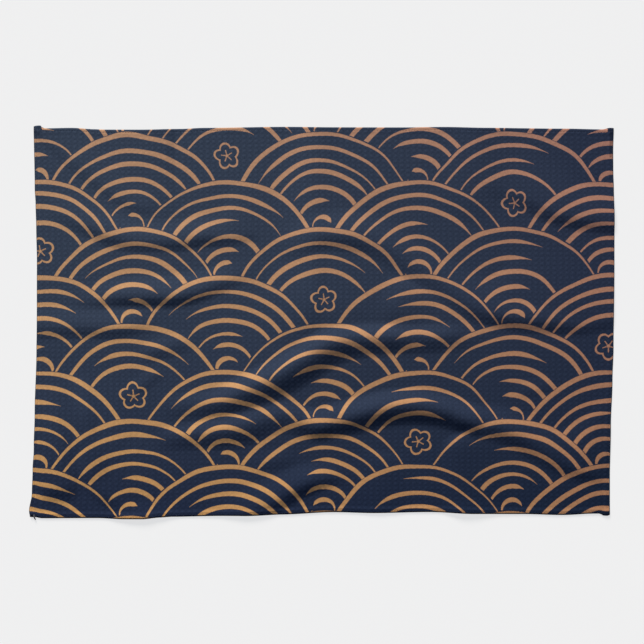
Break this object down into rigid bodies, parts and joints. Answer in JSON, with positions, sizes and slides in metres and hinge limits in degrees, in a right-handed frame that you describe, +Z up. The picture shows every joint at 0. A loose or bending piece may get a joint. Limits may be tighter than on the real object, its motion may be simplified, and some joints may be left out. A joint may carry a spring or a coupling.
{
  "type": "tea towel",
  "caption": "Rectangular printed waffle-weave tea towel lying flat, with a narrow turned hem and soft folds across it.",
  "frame": {"origin": "centre of the towel's outline, on the surface it lies on", "axes": "+X along the long side, +Y along the short side towards the far long edge, +Z up out of the printed face"},
  "size_m": [0.615, 0.4132, 0.0081],
  "materials": {
    "towel_cloth": "matte waffle weave, navy with printed ochre to copper line pattern"
  },
  "bodies": {
    "root": {"towel": "towel_cloth"}
  },
  "joints": []
}
